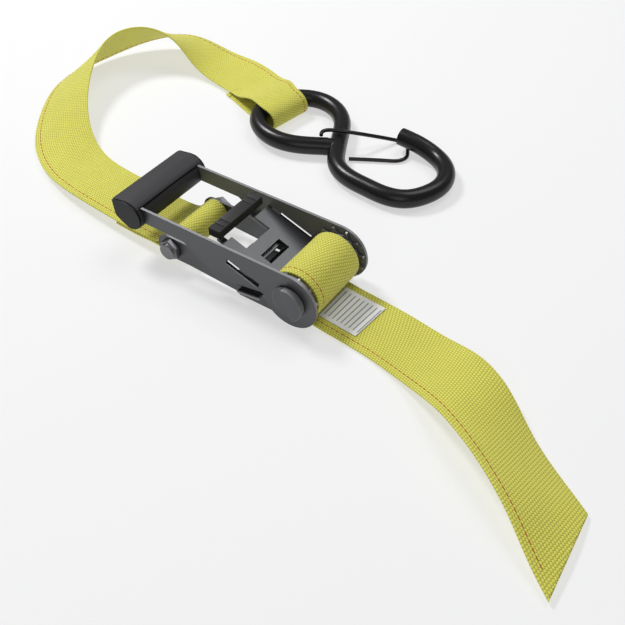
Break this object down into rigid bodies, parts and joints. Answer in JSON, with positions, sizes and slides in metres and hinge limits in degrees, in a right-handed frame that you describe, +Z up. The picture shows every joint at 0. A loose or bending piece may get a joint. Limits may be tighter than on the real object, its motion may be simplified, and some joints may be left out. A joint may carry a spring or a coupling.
{
  "type": "ratchet tie down",
  "caption": "Lever ratchet tie down with steel frame, padded grip and sliding pawls, a long webbing strap on the spindle and a short strap ending in an S hook with a wire gate.",
  "frame": {"origin": "centre of the underside of the frame's base plate, on the plane the whole part rests on", "axes": "+X from the handle's grip towards the spindle, +Y across the frame along the spindle's axis away from the hook's near side, +Z up"},
  "size_m": [0.5905, 0.3612, 0.0481],
  "materials": {
    "dark_steel": "dark grey plated steel, satin",
    "bright_steel": "plain plated steel, satin",
    "grip_plastic": "dark grey moulded plastic, soft sheen",
    "black_plastic": "black moulded plastic",
    "yellow_webbing": "woven polyester webbing, yellow",
    "label_cloth": "white tag with plain grey rules",
    "hook_black": "black coated steel, satin"
  },
  "bodies": {
    "base": {"base_frame": "dark_steel", "strap_bolt": "bright_steel", "bolt_nut": "bright_steel", "bolt_washer": "bright_steel", "bolt_sleeve": "bright_steel", "short_strap": "yellow_webbing", "long_strap": "yellow_webbing", "label": "label_cloth", "lock_pawl_spring": "bright_steel"},
    "handle": {"handle_frame": "dark_steel", "grip_sleeve": "grip_plastic", "grip_cap_near": "black_plastic", "grip_cap_far": "black_plastic", "grip_rod": "bright_steel", "drive_pawl_spring": "bright_steel"},
    "spool": {"spindle_half_upper": "dark_steel", "spindle_half_lower": "dark_steel", "ratchet_wheel_near": "bright_steel", "ratchet_wheel_far": "bright_steel", "webbing_core": "yellow_webbing"},
    "drive_pawl": {"drive_pawl": "dark_steel", "pull_bar": "black_plastic"},
    "lock_pawl": {"lock_pawl": "dark_steel"},
    "hook": {"s_hook": "hook_black"},
    "gate": {"wire_gate": "hook_black"}
  },
  "joints": [
    {"name": "handle_swing", "type": "hinge", "parent": "base", "child": "handle", "pos_m": [0.03, 0, 0.0223], "axis": [0, 1, 0], "range_deg": [0, 160]},
    {"name": "spool_turn", "type": "hinge", "parent": "base", "child": "spool", "pos_m": [0.03, 0, 0.0223], "axis": [0, 1, 0], "continuous": true},
    {"name": "drive_pawl_slide", "type": "slide", "parent": "handle", "child": "drive_pawl", "axis": [-0.9439, 0, 0.3303], "range_m": [0, 0.004], "stiffness_N_per_m": 200, "springref_m": -0.005, "deforming": ["drive_pawl_spring"]},
    {"name": "lock_pawl_slide", "type": "slide", "parent": "base", "child": "lock_pawl", "axis": [-0.9914, 0, -0.1306], "range_m": [0, 0.005], "stiffness_N_per_m": 200, "springref_m": -0.005, "deforming": ["lock_pawl_spring"]},
    {"name": "hook_swing", "type": "hinge", "parent": "base", "child": "hook", "pos_m": [-0.1382, 0.1695, 0.01], "axis": [0, -1, 0], "range_deg": [0, 18]},
    {"name": "gate_swing", "type": "hinge", "parent": "hook", "child": "gate", "pos_m": [-0.054, 0.1519, 0.01], "axis": [0, 0, -1], "range_deg": [0, 18], "stiffness_Nm_per_rad": 0.02, "springref_deg": -11.46}
  ]
}
